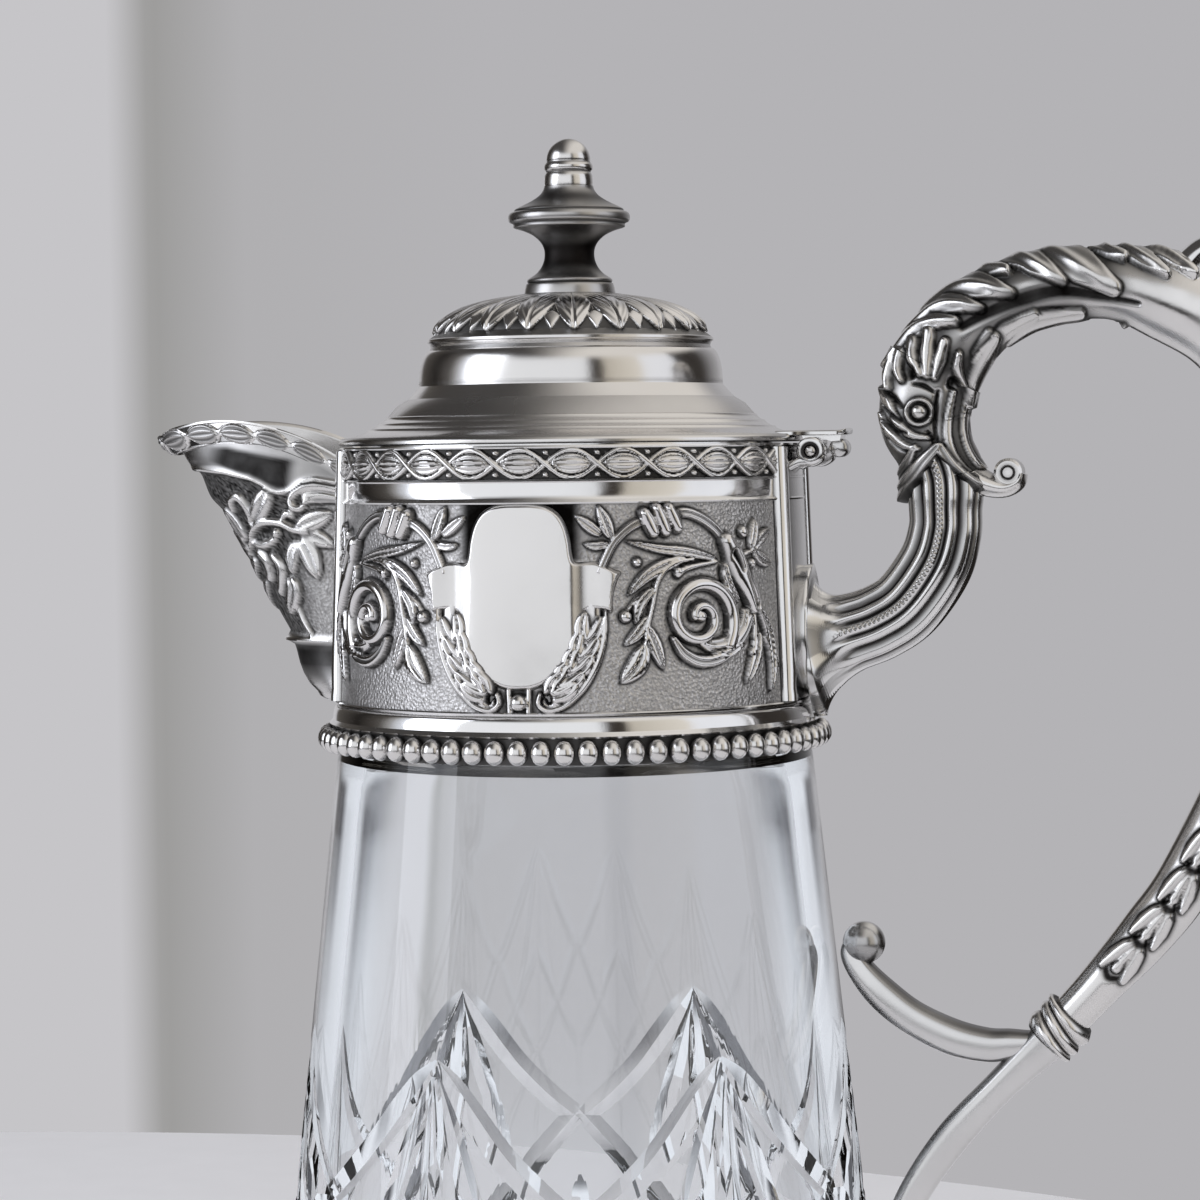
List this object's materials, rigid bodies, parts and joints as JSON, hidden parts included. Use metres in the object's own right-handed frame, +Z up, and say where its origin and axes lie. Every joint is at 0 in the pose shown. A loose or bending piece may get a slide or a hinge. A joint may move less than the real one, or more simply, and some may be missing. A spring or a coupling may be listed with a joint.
{
  "type": "claret jug",
  "caption": "Cut crystal claret jug with a raised silver collar, spout, hinged domed lid with a finial and a scrolled bird-head handle.",
  "frame": {"origin": "centre of the foot, on the surface that the jug stands on", "axes": "+Z up, +X towards the handle with the spout towards -X, +Y along the hinge pin"},
  "size_m": [0.223, 0.1276, 0.29],
  "materials": {
    "crystal": "clear, cut and polished",
    "plaster": "matt setting plaster",
    "silver_polished": "polished silver",
    "silver_chased": "chased silver, dark in its hollows",
    "silver_plain": "plain silver"
  },
  "bodies": {
    "jug": {"glass_body": "crystal", "plaster_bed": "plaster", "collar_shell": "silver_polished", "collar_leaf_band": "silver_chased", "collar_bezel": "silver_polished", "bead_border": "silver_polished", "cartouche_front": "silver_polished", "cartouche_back": "silver_polished", "spout_shell": "silver_chased", "spout_leaf_border": "silver_chased", "spout_side_wires": "silver_polished", "handle_side_wires": "silver_polished", "hinge_bracket": "silver_polished", "hinge_pin": "silver_plain", "handle_mount_plate": "silver_polished", "handle_socket": "silver_polished", "handle_leaf_collar": "silver_chased", "handle_head": "silver_polished", "handle_arch": "silver_chased", "handle_grip": "silver_polished", "handle_knot": "silver_polished", "handle_fork": "silver_polished"},
    "lid": {"lid_shell": "silver_polished", "lid_leaf_dome": "silver_chased", "lid_bezel": "silver_polished", "hinge_leaf": "silver_polished", "finial_baluster": "silver_polished", "finial_button": "silver_polished", "finial_stud": "silver_plain", "finial_washer": "silver_plain", "finial_nut": "silver_plain"}
  },
  "joints": [
    {"name": "lid_hinge", "type": "hinge", "parent": "jug", "child": "lid", "pos_m": [0.0469, 0, 0.23045], "axis": [0, 1, 0], "range_deg": [0, 75]}
  ]
}
